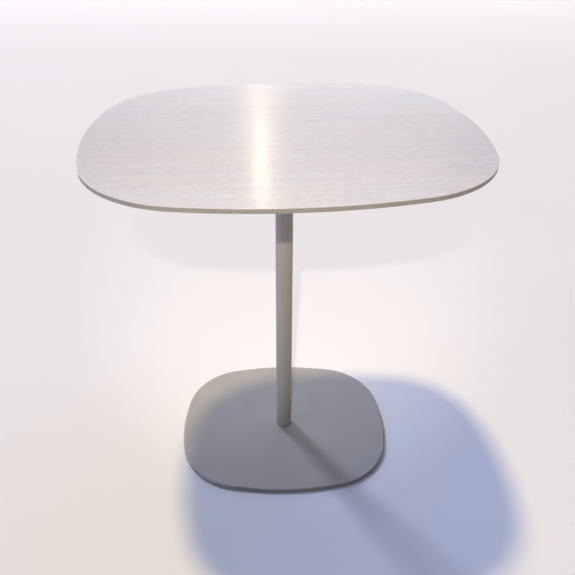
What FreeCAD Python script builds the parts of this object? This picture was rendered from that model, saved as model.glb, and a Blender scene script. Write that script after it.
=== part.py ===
"""Bistro table: a thin veneered top on a slim steel column and a flat steel base that stands on four screw glides.

Frame: +Z up, X along the long side of the top, origin on the floor on the column's axis. Millimetres.
Each physical piece is written to parts/NODE.step; pieces of one kind that never move share a node.
"""

import FreeCAD, Part
import math
import os

from FreeCAD import Vector

# Overall sizes
TABLE_HEIGHT = 737.0
TOP_LENGTH = 720.0
TOP_DEPTH = 630.0
BASE_LENGTH = 480.0
BASE_DEPTH = 406.0

# Outlines: four long side arcs and four corner arcs, tangent to each other
TOP_SIDE_RADIUS = 955.0
TOP_END_RADIUS = 628.0
TOP_CORNER_RADIUS = 201.0
BASE_SIDE_RADIUS = 609.0
BASE_END_RADIUS = 415.0
BASE_CORNER_RADIUS = 141.0

# The top is clamped a few degrees out of line with the base
BASE_TURN = -3.2

# Tabletop board: oak face veneer, fibreboard core, backing veneer
VENEER = 0.6
BOARD_THICKNESS = 12.0
EDGE_HEIGHT = 8.0
BEVEL_WIDTH = 24.0
FACE_ARRIS = 0.4
EDGE_ARRIS = 1.2

# Mounting plate under the board, and its screws
PLATE_LENGTH = 270.0
PLATE_DEPTH = 230.0
PLATE_SIDE_RADIUS = 500.0
PLATE_END_RADIUS = 380.0
PLATE_CORNER_RADIUS = 60.0
PLATE_THICKNESS = 5.0
PLATE_CHAMFER = 1.5
SCREW_SPACING_X = 105.0
SCREW_SPACING_Y = 170.0
SCREW_RADIUS = 3.0
SCREW_GRIP = 12.0
SCREW_HEAD_RADIUS = 5.25
SCREW_HEAD_HEIGHT = 3.3
SCREW_SOCKET_FLATS = 4.0
SCREW_SOCKET_DEPTH = 2.0
SCREW_HOLE_RADIUS = 3.5
WASHER_RADIUS = 6.0
WASHER_THICKNESS = 1.2
INSERT_RADIUS = 4.5
INSERT_LENGTH = 8.0
INSERT_GROOVE = 0.5
INSERT_GROOVES = 3

# Column
TUBE_RADIUS = 17.5
TUBE_WALL = 2.5
WELD_LEG = 4.0
PLUG_LENGTH = 30.0
PLUG_BORE_DEPTH = 27.0
PLUG_CHAMFER = 1.0
GASKET_THICKNESS = 1.0
GASKET_LIP = 0.3

# Base plate and the bolt through it
BASE_THICKNESS = 6.0
BASE_FOOT_CHAMFER = 0.6
BASE_EDGE_LAND = 0.9
FLOOR_GAP = 1.0
BOLT_RADIUS = 6.0
BOLT_HEAD_RADIUS = 11.0
BOLT_LENGTH = 31.0
BOLT_HEAD_RECESS = 0.3
BOLT_SOCKET_FLATS = 7.0
BOLT_SOCKET_DEPTH = 3.5
BOLT_HOLE_CLEARANCE = 0.25

# Screw glides
GLIDE_X = 165.0
GLIDE_Y = 132.0
PAD_RADIUS = 11.0
PAD_THICKNESS = 2.6
PAD_CHAMFER = 0.6
PAD_WINDOW_RADIUS = 3.5
STUD_RADIUS = 4.0
STUD_REACH = 3.4
STUD_HEAD_RADIUS = 6.0
STUD_HEAD_HEIGHT = 1.8
STUD_SOCKET_FLATS = 5.0
STUD_SOCKET_DEPTH = 1.6
GLIDE_SCREW_IN = 0.4
GLIDE_POCKET_CLEARANCE = 1.0
GLIDE_HOLE_SPARE = 0.1

# Fit of every thread, between its screw and its hole
THREAD_CLEARANCE = 0.05

# Levels that follow from the sizes above
BASE_UNDER = FLOOR_GAP
BASE_TOP = BASE_UNDER + BASE_THICKNESS
TUBE_FOOT = BASE_TOP + GASKET_THICKNESS
BOARD_UNDER = TABLE_HEIGHT - BOARD_THICKNESS
CORE_TOP = TABLE_HEIGHT - VENEER
CORE_UNDER = BOARD_UNDER + VENEER
EDGE_UNDER = TABLE_HEIGHT - EDGE_HEIGHT
PLATE_UNDER = BOARD_UNDER - PLATE_THICKNESS
PAD_TOP = PAD_THICKNESS
GLIDE_POCKET_TOP = PAD_TOP + GLIDE_SCREW_IN
TUBE_BORE = TUBE_RADIUS - TUBE_WALL

# The base's upper edge is rounded down to a narrow upright land above the chamfer
BASE_TOP_ROUND = BASE_THICKNESS - BASE_FOOT_CHAMFER - BASE_EDGE_LAND

UP = Vector(0, 0, 1)


def outline(length, depth, side_radius, end_radius, corner_radius, z, inset=0.0):
    """Closed wire of eight tangent arcs at height z, drawn inset from its full size."""
    side = side_radius - inset
    end = end_radius - inset
    corner = corner_radius - inset
    side_centre = Vector(0, depth / 2 - side_radius, z)
    end_centre = Vector(length / 2 - end_radius, 0, z)
    # The corner's centre lies where circles of these radii about the two other centres cross
    reach_side = side_radius - corner_radius
    reach_end = end_radius - corner_radius
    line = end_centre - side_centre
    gap = line.Length
    along = (reach_side**2 - reach_end**2 + gap**2) / (2 * gap)
    across = math.sqrt(reach_side**2 - along**2)
    unit = line / gap
    corner_centre = side_centre + unit * along + Vector(-unit.y, unit.x, 0) * across
    if corner_centre.x < 0 or corner_centre.y < 0:
        corner_centre = side_centre + unit * along - Vector(-unit.y, unit.x, 0) * across
    side_way = (corner_centre - side_centre).normalize()
    end_way = (corner_centre - end_centre).normalize()
    side_joint = side_centre + side_way * side
    end_joint = end_centre + end_way * end
    corner_middle = corner_centre + (side_way + end_way).normalize() * corner
    side_middle = side_centre + Vector(0, side, 0)
    end_middle = end_centre + Vector(end, 0, 0)

    def turned(point, x_sign, y_sign):
        return Vector(point.x * x_sign, point.y * y_sign, point.z)

    arcs = [
        (turned(end_joint, 1, -1), end_middle, end_joint),
        (end_joint, corner_middle, side_joint),
        (side_joint, side_middle, turned(side_joint, -1, 1)),
        (turned(side_joint, -1, 1), turned(corner_middle, -1, 1), turned(end_joint, -1, 1)),
        (turned(end_joint, -1, 1), turned(end_middle, -1, 1), turned(end_joint, -1, -1)),
        (turned(end_joint, -1, -1), turned(corner_middle, -1, -1), turned(side_joint, -1, -1)),
        (turned(side_joint, -1, -1), turned(side_middle, 1, -1), turned(side_joint, 1, -1)),
        (turned(side_joint, 1, -1), turned(corner_middle, 1, -1), turned(end_joint, 1, -1)),
    ]
    return Part.Wire([Part.Arc(*points).toShape() for points in arcs])


def top_outline(z, inset=0.0):
    return outline(
        TOP_LENGTH, TOP_DEPTH, TOP_SIDE_RADIUS, TOP_END_RADIUS, TOP_CORNER_RADIUS, z, inset
    )


def base_outline(z, inset=0.0):
    return outline(
        BASE_LENGTH, BASE_DEPTH, BASE_SIDE_RADIUS, BASE_END_RADIUS, BASE_CORNER_RADIUS, z, inset
    )


def plate_outline(z, inset=0.0):
    return outline(
        PLATE_LENGTH, PLATE_DEPTH, PLATE_SIDE_RADIUS, PLATE_END_RADIUS, PLATE_CORNER_RADIUS, z, inset
    )


def slab(wire, height):
    return Part.Face(wire).extrude(UP * height)


def rod(radius, low, high, x=0.0, y=0.0):
    return Part.makeCylinder(radius, high - low, Vector(x, y, low))


def taper(low_radius, high_radius, low, high, x=0.0, y=0.0):
    return Part.makeCone(low_radius, high_radius, high - low, Vector(x, y, low))


def hexagon(flats, low, high, x=0.0, y=0.0):
    """Hexagonal prism, measured across its flats, for a key socket."""
    corner = flats / math.sqrt(3)
    points = [
        Vector(x + corner * math.cos(math.pi / 3 * i), y + corner * math.sin(math.pi / 3 * i), low)
        for i in range(7)
    ]
    return slab(Part.makePolygon(points), high - low)


def rim_edges(shape, z):
    """The edges of the outer rim that lie flat at height z."""
    reach = 0.6 * shape.BoundBox.YMax
    return [
        e
        for e in shape.Edges
        if abs(e.BoundBox.ZMin - z) < 1e-3
        and abs(e.BoundBox.ZMax - z) < 1e-3
        and e.CenterOfMass.Length > 0
        and math.hypot(e.CenterOfMass.x, e.CenterOfMass.y) > reach
    ]


def screw_places():
    return [
        (column * SCREW_SPACING_X, row * SCREW_SPACING_Y / 2)
        for column in (-1, 0, 1)
        for row in (-1, 1)
    ]


def glide_places():
    return [(GLIDE_X, GLIDE_Y), (-GLIDE_X, GLIDE_Y), (-GLIDE_X, -GLIDE_Y), (GLIDE_X, -GLIDE_Y)]


def turned_base(solid):
    """Turns a solid that is drawn square to the base by the base's own angle."""
    return solid.rotated(Vector(0, 0, 0), UP, BASE_TURN)


def save(node, *solids):
    shape = solids[0] if len(solids) == 1 else Part.makeCompound(list(solids))
    if not shape.isValid() or min(s.Volume for s in shape.Solids) <= 0:
        raise ValueError(node + " is not a sound solid")
    shape.exportStep("parts/" + node + ".step")
    print(node, len(shape.Solids), "solid(s)", round(shape.Volume / 1000, 2), "cm3")


def face_veneer():
    sheet = slab(top_outline(CORE_TOP), VENEER)
    return sheet.makeFillet(FACE_ARRIS, rim_edges(sheet, TABLE_HEIGHT))


def board_core():
    """Fibreboard with a thin upright edge; the underside is bevelled back to the full thickness."""
    edge = slab(top_outline(EDGE_UNDER), CORE_TOP - EDGE_UNDER)
    bevel = Part.makeLoft([top_outline(CORE_UNDER, BEVEL_WIDTH), top_outline(EDGE_UNDER)], True, True)
    board = edge.fuse(bevel).removeSplitter()
    board = board.makeFillet(EDGE_ARRIS, rim_edges(board, EDGE_UNDER))
    for x, y in screw_places():
        board = board.cut(rod(INSERT_RADIUS, CORE_UNDER, CORE_UNDER + INSERT_LENGTH, x, y))
    return board


def backing_veneer():
    sheet = slab(top_outline(BOARD_UNDER, BEVEL_WIDTH), VENEER)
    for x, y in screw_places():
        sheet = sheet.cut(rod(INSERT_RADIUS, BOARD_UNDER, CORE_UNDER, x, y))
    return sheet


def threaded_insert(x, y):
    """Brass insert pressed into the board, with three grooves that the fibreboard grips."""
    body = rod(INSERT_RADIUS, CORE_UNDER, CORE_UNDER + INSERT_LENGTH, x, y)
    pitch = INSERT_LENGTH / (INSERT_GROOVES + 1)
    for i in range(INSERT_GROOVES):
        middle = CORE_UNDER + pitch * (i + 1)
        ring = rod(INSERT_RADIUS, middle - INSERT_GROOVE, middle + INSERT_GROOVE, x, y)
        body = body.cut(ring.cut(rod(INSERT_RADIUS - INSERT_GROOVE, CORE_UNDER, CORE_TOP, x, y)))
    return body.cut(rod(SCREW_RADIUS + THREAD_CLEARANCE, CORE_UNDER, CORE_UNDER + INSERT_LENGTH, x, y))


def mounting_plate():
    plate = slab(plate_outline(PLATE_UNDER), PLATE_THICKNESS)
    plate = plate.makeChamfer(PLATE_CHAMFER, rim_edges(plate, PLATE_UNDER))
    for x, y in screw_places():
        plate = plate.cut(rod(SCREW_HOLE_RADIUS, PLATE_UNDER, BOARD_UNDER, x, y))
    return plate


def washer(x, y):
    low = PLATE_UNDER - WASHER_THICKNESS
    return rod(WASHER_RADIUS, low, PLATE_UNDER, x, y).cut(
        rod(SCREW_RADIUS + THREAD_CLEARANCE, low, PLATE_UNDER, x, y)
    )


def plate_screw(x, y):
    """Button-head screw that runs up through the washer and the plate into the insert."""
    seat = PLATE_UNDER - WASHER_THICKNESS
    foot = seat - SCREW_HEAD_HEIGHT
    head = rod(SCREW_HEAD_RADIUS, foot, seat, x, y)
    low_edge = [e for e in head.Edges if abs(e.BoundBox.ZMax - foot) < 1e-3]
    head = head.makeFillet(0.6 * SCREW_HEAD_HEIGHT, low_edge)
    shank = rod(SCREW_RADIUS, seat, seat + SCREW_GRIP, x, y)
    return head.fuse(shank).cut(hexagon(SCREW_SOCKET_FLATS, foot, foot + SCREW_SOCKET_DEPTH, x, y))


def column_tube():
    return rod(TUBE_RADIUS, TUBE_FOOT, PLATE_UNDER).cut(rod(TUBE_BORE, TUBE_FOOT, PLATE_UNDER))


def column_weld():
    """Fillet weld round the top of the tube, under the mounting plate."""
    low = PLATE_UNDER - WELD_LEG
    bead = taper(TUBE_RADIUS, TUBE_RADIUS + WELD_LEG, low, PLATE_UNDER)
    return bead.cut(rod(TUBE_RADIUS, low, PLATE_UNDER))


def column_plug():
    """Turned steel plug fixed in the foot of the tube; the base bolt screws into it."""
    top = TUBE_FOOT + PLUG_LENGTH
    plug = rod(TUBE_BORE, TUBE_FOOT, top)
    edges = [e for e in plug.Edges if abs(e.BoundBox.ZMin - top) < 1e-3]
    plug = plug.makeChamfer(PLUG_CHAMFER, edges)
    return plug.cut(rod(BOLT_RADIUS + THREAD_CLEARANCE, TUBE_FOOT, TUBE_FOOT + PLUG_BORE_DEPTH))


def foot_gasket():
    """Thin washer that keeps the tube's end off the base's paint."""
    ring = rod(TUBE_RADIUS + GASKET_LIP, BASE_TOP, TUBE_FOOT)
    return ring.cut(rod(BOLT_RADIUS + BOLT_HOLE_CLEARANCE, BASE_TOP, TUBE_FOOT))


def base_plate():
    plate = slab(base_outline(BASE_UNDER), BASE_THICKNESS)
    plate = plate.makeFillet(BASE_TOP_ROUND, rim_edges(plate, BASE_TOP))
    plate = plate.makeChamfer(BASE_FOOT_CHAMFER, rim_edges(plate, BASE_UNDER))
    hole = BOLT_RADIUS + BOLT_HOLE_CLEARANCE
    mouth = BOLT_HEAD_RADIUS + BOLT_HOLE_CLEARANCE + BOLT_HEAD_RECESS
    plate = plate.cut(rod(hole, BASE_UNDER, BASE_TOP))
    plate = plate.cut(taper(mouth, hole, BASE_UNDER, BASE_UNDER + mouth - hole))
    for x, y in glide_places():
        pocket = PAD_RADIUS + GLIDE_POCKET_CLEARANCE
        hole_top = PAD_TOP + STUD_REACH + GLIDE_SCREW_IN + GLIDE_HOLE_SPARE
        plate = plate.cut(rod(pocket, BASE_UNDER, GLIDE_POCKET_TOP, x, y))
        plate = plate.cut(rod(STUD_RADIUS, BASE_UNDER, hole_top, x, y))
    return plate


def base_bolt():
    """Countersunk bolt, flush under the base, that draws the column down on it."""
    foot = BASE_UNDER + BOLT_HEAD_RECESS
    neck = foot + BOLT_HEAD_RADIUS - BOLT_RADIUS
    head = taper(BOLT_HEAD_RADIUS, BOLT_RADIUS, foot, neck)
    bolt = head.fuse(rod(BOLT_RADIUS, foot, foot + BOLT_LENGTH))
    return bolt.cut(hexagon(BOLT_SOCKET_FLATS, foot, foot + BOLT_SOCKET_DEPTH))


def glide_stud(x, y):
    """Threaded stud whose flanged head is held in the pad; its key socket faces the floor."""
    head_low = PAD_TOP - STUD_HEAD_HEIGHT
    head = rod(STUD_HEAD_RADIUS, head_low, PAD_TOP, x, y)
    shank = rod(STUD_RADIUS - THREAD_CLEARANCE, head_low, PAD_TOP + STUD_REACH, x, y)
    return head.fuse(shank).cut(
        hexagon(STUD_SOCKET_FLATS, head_low, head_low + STUD_SOCKET_DEPTH, x, y)
    )


def glide_pad(x, y):
    """Nylon pad round the stud's head, open below so that a key reaches the socket."""
    pad = rod(PAD_RADIUS, 0, PAD_TOP, x, y)
    pad = pad.makeChamfer(PAD_CHAMFER, [e for e in pad.Edges if abs(e.BoundBox.ZMax) < 1e-3])
    pad = pad.cut(rod(STUD_HEAD_RADIUS, PAD_TOP - STUD_HEAD_HEIGHT, PAD_TOP, x, y))
    return pad.cut(rod(PAD_WINDOW_RADIUS, 0, PAD_TOP, x, y))


os.makedirs("parts", exist_ok=True)
save("face_veneer", face_veneer())
save("board_core", board_core())
save("backing_veneer", backing_veneer())
save("threaded_inserts", *[threaded_insert(x, y) for x, y in screw_places()])
save("mounting_plate", mounting_plate())
save("plate_washers", *[washer(x, y) for x, y in screw_places()])
save("plate_screws", *[plate_screw(x, y) for x, y in screw_places()])
save("column_tube", column_tube())
save("column_weld", column_weld())
save("column_plug", column_plug())
save("foot_gasket", foot_gasket())
save("base_plate", turned_base(base_plate()))
save("base_bolt", base_bolt())
for number, (glide_x, glide_y) in enumerate(glide_places(), start=1):
    save("glide_stud_" + str(number), turned_base(glide_stud(glide_x, glide_y)))
    save("glide_pad_" + str(number), turned_base(glide_pad(glide_x, glide_y)))
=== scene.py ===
import math

import bpy
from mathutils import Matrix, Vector


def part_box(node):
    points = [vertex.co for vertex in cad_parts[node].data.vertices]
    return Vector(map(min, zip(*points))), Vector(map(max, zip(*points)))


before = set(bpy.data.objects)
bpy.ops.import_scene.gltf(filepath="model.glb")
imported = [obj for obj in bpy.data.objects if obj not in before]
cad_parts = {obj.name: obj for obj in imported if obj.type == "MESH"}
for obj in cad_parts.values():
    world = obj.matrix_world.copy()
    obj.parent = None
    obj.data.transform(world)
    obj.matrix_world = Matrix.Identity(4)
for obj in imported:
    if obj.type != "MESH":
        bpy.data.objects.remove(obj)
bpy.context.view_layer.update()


# Base plate: one flat steel plate with a rounded upper edge, lying on the four glides.
# Laser cut, its edge ground round, then powder coated in a fine-textured warm light grey.

def linear(hex_colour):
    """An sRGB hex colour such as C8C2B6 as the linear values that a shader takes."""
    channels = [int(hex_colour[i:i + 2], 16) / 255 for i in (0, 2, 4)]
    return [*(c / 12.92 if c <= 0.04045 else ((c + 0.055) / 1.055) ** 2.4 for c in channels), 1.0]


def add_node(material, kind, settings=None, links=None):
    """Adds a shader node, gives it its settings and links its inputs to other nodes' outputs."""
    node = material.node_tree.nodes.new(kind)
    for name, value in (settings or {}).items():
        if isinstance(name, int) or name in node.inputs:
            node.inputs[name].default_value = value
        else:
            setattr(node, name, value)
    for name, output in (links or {}).items():
        material.node_tree.links.new(output, node.inputs[name])
    return node


def new_material(name, settings):
    """A material with one Principled shader. Returns it, its shader and its Object coordinates."""
    material = bpy.data.materials.new(name)
    material.use_nodes = True
    material.node_tree.nodes.clear()
    shader = add_node(material, "ShaderNodeBsdfPrincipled", settings)
    add_node(material, "ShaderNodeOutputMaterial", links={"Surface": shader.outputs["BSDF"]})
    place = add_node(material, "ShaderNodeTexCoord").outputs["Object"]
    return material, shader, place


def grain(material, place, size_mm, detail=2.0):
    """Noise whose features are size_mm = (x, y, z) millimetres long. Its mean is 0.5."""
    per_metre = [1000 / s for s in size_mm]
    stretched = add_node(material, "ShaderNodeMapping", {"Scale": per_metre}, {"Vector": place})
    noise = add_node(material, "ShaderNodeTexNoise", {"Scale": 1.0, "Detail": detail},
                     {"Vector": stretched.outputs["Vector"]})
    return noise.outputs["Fac"]


def colour_ramp(material, value, stops):
    """Colour along value: stops is a list of (position, hex colour)."""
    ramp = add_node(material, "ShaderNodeValToRGB", links={"Fac": value})
    elements = ramp.color_ramp.elements
    while len(elements) < len(stops):
        elements.new(0.5)
    for element, (position, colour) in zip(elements, stops):
        element.position = position
        element.color = linear(colour)
    return ramp.outputs["Color"]


def bump(material, shader, height, depth_mm, coat=False):
    """Raises the surface by depth_mm where height is 1, and the coat's surface with it if coat is set."""
    relief = add_node(material, "ShaderNodeBump", {"Strength": 1.0, "Distance": depth_mm / 1000},
                      {"Height": height})
    material.node_tree.links.new(relief.outputs["Normal"], shader.inputs["Normal"])
    if coat:
        material.node_tree.links.new(relief.outputs["Normal"], shader.inputs["Coat Normal"])


def finish(material, *nodes):
    """Gives these CAD nodes the material."""
    for node in nodes:
        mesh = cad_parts[node].data
        mesh.materials.clear()
        mesh.materials.append(material)


def powder_coated_steel():
    """Powder coat baked on steel: matt, with a fine orange peel that softens every highlight."""
    matt = {"Metallic": 0.0, "IOR": 1.5, "Roughness": 0.55}
    material, shader, place = new_material("powder_coated_steel", matt)
    mottle = colour_ramp(material, grain(material, place, (60, 60, 60)), [(0.3, "A8A297"), (0.7, "ADA79C")])
    material.node_tree.links.new(mottle, shader.inputs["Base Color"])
    # Real orange peel is about 0.5 mm across; drawn at 2 mm so that it shows
    bump(material, shader, grain(material, place, (2, 2, 2)), 0.03)
    return material


paint = powder_coated_steel()
finish(paint, "base_plate")


# Glides: four zinc plated steel studs that screw up into the base plate, each with a black nylon
# pad moulded round its head. They level the table and keep the paint off the floor.

def zinc_plated_steel():
    """Bright zinc on turned steel: a soft grey metal with faint cloudy patches."""
    material, shader, place = new_material("zinc_plated_steel", {"Metallic": 1.0, "Roughness": 0.35})
    clouds = colour_ramp(material, grain(material, place, (3, 3, 3)), [(0.35, "A9ACB0"), (0.65, "C4C6C8")])
    material.node_tree.links.new(clouds, shader.inputs["Base Color"])
    return material


def moulded_nylon():
    """Black nylon, injection moulded against a spark-eroded tool: matt with a fine grain."""
    material, shader, place = new_material("moulded_nylon", {"Metallic": 0.0, "IOR": 1.53, "Roughness": 0.6})
    tone = colour_ramp(material, grain(material, place, (4, 4, 4)), [(0.3, "1B1B1C"), (0.7, "242426")])
    material.node_tree.links.new(tone, shader.inputs["Base Color"])
    bump(material, shader, grain(material, place, (0.6, 0.6, 0.6)), 0.03)
    return material


zinc = zinc_plated_steel()
nylon = moulded_nylon()
for number in (1, 2, 3, 4):
    finish(zinc, f"glide_stud_{number}")
    finish(nylon, f"glide_pad_{number}")


# Foot of the column: a thin grey fibre washer lies between the tube and the base, and a countersunk
# bolt from below screws into a steel plug in the tube and clamps the three together.

def turned_steel():
    """Bare bar steel, turned on a lathe: fine rings across the end of the plug."""
    material, shader, place = new_material("turned_steel", {"Metallic": 1.0, "Roughness": 0.32})
    tone = colour_ramp(material, grain(material, place, (8, 8, 1)), [(0.35, "8E8D8B"), (0.65, "A3A19E")])
    material.node_tree.links.new(tone, shader.inputs["Base Color"])
    # The wave texture has 20 waves per unit at scale 1; here a ring is 0.8 mm wide
    ring_mm = 0.8
    wave = {"wave_type": "RINGS", "rings_direction": "Z", "Scale": 1000 / 20 / ring_mm, "Distortion": 0.2}
    rings = add_node(material, "ShaderNodeTexWave", wave, {"Vector": place})
    bump(material, shader, rings.outputs["Fac"], 0.02)
    return material


def grey_fibre():
    """Vulcanised fibre washer: dull mid grey, close to the paint."""
    material, shader, place = new_material("grey_fibre", {"Metallic": 0.0, "IOR": 1.5, "Roughness": 0.8})
    tone = colour_ramp(material, grain(material, place, (2, 2, 2)), [(0.3, "8E8980"), (0.7, "97928A")])
    material.node_tree.links.new(tone, shader.inputs["Base Color"])
    return material


finish(grey_fibre(), "foot_gasket")
finish(turned_steel(), "column_plug")
finish(zinc, "base_bolt")


# Column: a straight drawn steel tube, welded to the mounting plate at its upper end and powder
# coated together with it, in the same colour as the base.

finish(paint, "column_tube", "column_weld", "mounting_plate")


# Fixing of the top: six button-head screws pass through washers and the mounting plate into
# brass inserts that are pressed into the underside of the board.

def turned_brass():
    """Machined brass, left bare: warm yellow metal, slightly dulled."""
    material, shader, place = new_material("turned_brass", {"Metallic": 1.0, "Roughness": 0.3})
    tone = colour_ramp(material, grain(material, place, (2, 2, 2)), [(0.35, "B8974E"), (0.65, "CFAF66")])
    material.node_tree.links.new(tone, shader.inputs["Base Color"])
    return material


finish(zinc, "plate_screws", "plate_washers")
finish(turned_brass(), "threaded_inserts")


# Board: medium density fibreboard, bevelled under its rim so that the edge looks thin. Edge and
# bevel are sprayed with a satin lacquer close to the colour of the steel.

def lacquered_fibreboard():
    """Sprayed and sanded lacquer over fibreboard: smooth, satin, with hardly any texture."""
    satin = {"Metallic": 0.0, "IOR": 1.5, "Roughness": 0.42}
    material, shader, place = new_material("lacquered_fibreboard", satin)
    tone = colour_ramp(material, grain(material, place, (40, 40, 40)), [(0.3, "9A9388"), (0.7, "A09A8F")])
    material.node_tree.links.new(tone, shader.inputs["Base Color"])
    bump(material, shader, grain(material, place, (3, 3, 3)), 0.02)
    return material


finish(lacquered_fibreboard(), "board_core")


# Backing veneer: plain oak sheet on the underside that balances the face veneer and keeps the
# board flat. Sealed with a thin matt lacquer and otherwise left in its own colour.

def sealed_oak():
    """Unstained oak veneer: straw brown, straight grained along X, with open pores."""
    material, shader, place = new_material("sealed_oak", {"Metallic": 0.0, "IOR": 1.5, "Roughness": 0.6})
    figure = grain(material, place, (400, 14, 400), 4.0)
    tone = colour_ramp(material, figure, [(0.3, "A98F6E"), (0.7, "C0A684")])
    material.node_tree.links.new(tone, shader.inputs["Base Color"])
    bump(material, shader, grain(material, place, (30, 1.2, 30)), 0.06)
    return material


finish(sealed_oak(), "backing_veneer")


# Face veneer: oak, brushed, rubbed with white pigment and finished in satin lacquer, with the
# grain along the table's length. Its upper arris is sanded to a fine round.

def whitewashed_oak():
    """Limed oak under satin lacquer: nearly white, with faint grain lines and open pores."""
    brushed = {"Metallic": 0.0, "IOR": 1.5, "Roughness": 0.34, "Anisotropic": 0.8}
    lacquered = {"Coat Weight": 0.25, "Coat Roughness": 0.12}
    material, shader, place = new_material("whitewashed_oak", brushed | lacquered)
    # Growth rings: stripes a few millimetres wide that run on for decimetres
    rings = grain(material, place, (420, 9, 420), 4.0)
    stripes = colour_ramp(material, rings, [(0.3, "CDC9C7"), (0.7, "D5D2D0")])
    # The pigment takes unevenly: hand-sized patches, pinker and cooler
    pigment = grain(material, place, (160, 70, 160))
    patches = colour_ramp(material, pigment, [(0.35, "FFFCFA"), (0.65, "FBFCFF")])
    # Pores are 0.3 mm wide; drawn 1.2 mm wide and 12 mm long so that they show
    pores = grain(material, place, (12, 1.2, 12), 1.0)
    pore_tone = colour_ramp(material, pores, [(0.30, "D4CDC8"), (0.42, "FFFFFF")])
    # A colour Mix node's factor is input 0, its colours are inputs 6 and 7, its result is output 2
    multiply = {"data_type": "RGBA", "blend_type": "MULTIPLY"}
    tinted = add_node(material, "ShaderNodeMix", multiply | {0: 1.0}, {6: stripes, 7: patches})
    pored = add_node(material, "ShaderNodeMix", multiply | {0: 0.6}, {6: tinted.outputs[2], 7: pore_tone})
    material.node_tree.links.new(pored.outputs[2], shader.inputs["Base Color"])
    # The lacquer is thin and follows the pores
    bump(material, shader, pores, 0.11, coat=True)
    # The brushed grain spreads a highlight across the fibres, which is along the shader's tangent
    turning = {"vector_type": "VECTOR", "convert_from": "OBJECT", "convert_to": "WORLD", 0: (0, 1, 0)}
    across_grain = add_node(material, "ShaderNodeVectorTransform", turning)
    material.node_tree.links.new(across_grain.outputs["Vector"], shader.inputs["Tangent"])
    return material


finish(whitewashed_oak(), "face_veneer")


# Studio: a plain pale floor that runs out of sight, an even pale surround and a few soft lamps,
# warm ones overhead and in front, and cool windows at the back and sides.

FLOOR_SIZE = 60.0
SURROUND_LIGHT = 0.04
SURROUND_SEEN = 0.85


def matt_floor():
    """Matt off-white paint."""
    material, shader, place = new_material("matt_floor", {"Metallic": 0.0, "IOR": 1.5, "Roughness": 0.9})
    tone = colour_ramp(material, grain(material, place, (900, 900, 900)), [(0.3, "F1EEE8"), (0.7, "F3F0EB")])
    material.node_tree.links.new(tone, shader.inputs["Base Color"])
    return material


bpy.ops.object.select_all(action="DESELECT")
bpy.ops.mesh.primitive_plane_add(size=FLOOR_SIZE, location=(0, 0, 0))
floor = bpy.context.object
floor.name = "floor"
floor.data.materials.append(matt_floor())

# The surround looks pale, but gives little light of its own, so that the lamps model the shapes
surround = bpy.data.worlds.new("surround")
surround.use_nodes = True
background = surround.node_tree.nodes["Background"]
background.inputs["Color"].default_value = linear("EAF1FF")
seen = add_node(surround, "ShaderNodeLightPath").outputs["Is Camera Ray"]
levels = {"To Min": SURROUND_LIGHT, "To Max": SURROUND_SEEN}
brightness = add_node(surround, "ShaderNodeMapRange", levels, {"Value": seen})
surround.node_tree.links.new(brightness.outputs["Result"], background.inputs["Strength"])
bpy.context.scene.world = surround


def lamp(name, kind, towards, azimuth, elevation, distance, colour, power, **size):
    """A lamp that the point towards sees at this azimuth, clockwise from +Y, and elevation in degrees."""
    data = bpy.data.lights.new(name, kind)
    data.color = linear(colour)[:3]
    data.energy = power
    for key, value in size.items():
        setattr(data, key, value)
    turn = math.radians(azimuth)
    rise = math.radians(elevation)
    ray = Vector((math.sin(turn) * math.cos(rise), math.cos(turn) * math.cos(rise), math.sin(rise)))
    light = bpy.data.objects.new(name, data)
    light.visible_camera = False
    light.location = Vector(towards) + ray * distance
    light.rotation_euler = ray.to_track_quat("Z", "Y").to_euler()
    bpy.context.scene.collection.objects.link(light)
    return light


FLOOR_CENTRE = (0, 0, 0)
top_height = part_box("face_veneer")[1].z

# Warm key light, nearly overhead and a little to the back left. The lacquer doesn't mirror it.
ceiling_lamp = lamp("ceiling_lamp", "SUN", FLOOR_CENTRE, -39, 74.9, 4, "FFE8B0", 1.7, angle=math.radians(5))
ceiling_lamp.visible_glossy = False

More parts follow.
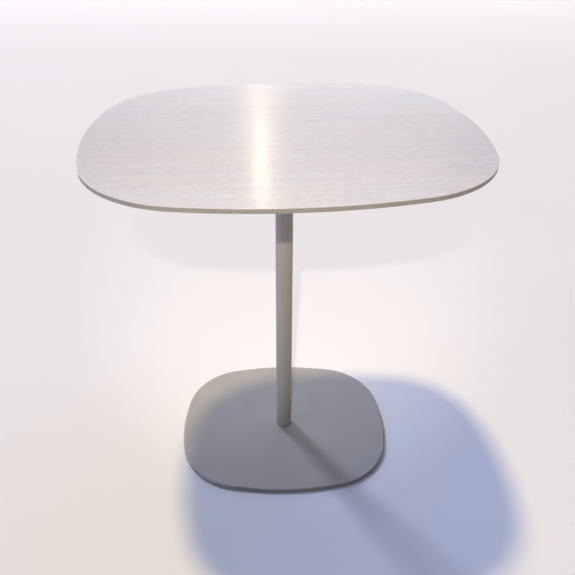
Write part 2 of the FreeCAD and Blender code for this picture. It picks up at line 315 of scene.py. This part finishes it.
# Small lamp in front, aimed at the column. The top's front edge casts its shadow on the tube.
spot_shape = {"spot_size": math.radians(36), "spot_blend": 1.0, "shadow_soft_size": 0.015}
lamp("front_spot", "SPOT", (0, -0.0175, 0.516), 188, 35.6, 1.7, "FFF6E8", 57, **spot_shape)

# Cool daylight: a window at the back left, a wide pale panel behind, and windows at both sides
lamp("back_left_window", "SUN", FLOOR_CENTRE, -31, 34, 4, "CCDBFF", 1.8, angle=math.radians(13))
panel_shape = {"shape": "RECTANGLE", "size": 16, "size_y": 2.4}
lamp("back_panel", "AREA", (0, 0, 0.7), 5, 11, 12, "F4F4FC", 520, **panel_shape)
lamp("left_window", "SUN", (0, 0, 0.4), -95, 9, 3, "90B0FF", 1.5, angle=math.radians(50))
lamp("right_window", "SUN", FLOOR_CENTRE, 45, 58, 4, "90ACFF", 0.66, angle=math.radians(50))

# Warm lamps far behind the table, which the lacquer mirrors as one long streak with a bright core
strip_shape = {"shape": "RECTANGLE", "size": 0.27, "size_y": 0.85}
lamp("far_strip", "AREA", (-0.045, -0.05, top_height), 2.9, 22, 3, "FFE6B4", 0.9, **strip_shape)
lamp("far_lamp_low", "AREA", (-0.048, -0.121, top_height), 2.9, 21.7, 3, "FFF0CC", 0.85, size=0.05)
lamp("far_lamp_high", "AREA", (-0.058, -0.250, top_height), 2.6, 24.6, 3, "FFF0CC", 0.38, size=0.07)


# Camera: above the height of the top, in front and slightly to the left, looking down at the
# table through a moderately wide lens. Depth of field is off.

CAMERA_PLACE = (-0.0975, -1.0974, 1.1252)
CAMERA_DOWN = 31.84
CAMERA_TURN = 4.78
SENSOR_MM = 36
LENS_MM = 39.33
LENS_SHIFT = (0.0106, -0.0310)
SIGHT_LIMIT = 200

camera_data = bpy.data.cameras.new("camera")
camera_data.sensor_width = SENSOR_MM
camera_data.lens = LENS_MM
camera_data.shift_x, camera_data.shift_y = LENS_SHIFT
camera_data.clip_end = SIGHT_LIMIT
camera = bpy.data.objects.new("camera", camera_data)
camera.location = CAMERA_PLACE
camera.rotation_euler = (math.radians(90 - CAMERA_DOWN), 0, -math.radians(CAMERA_TURN))
bpy.context.scene.collection.objects.link(camera)
bpy.context.scene.camera = camera
bpy.context.scene.view_settings.view_transform = "Standard"
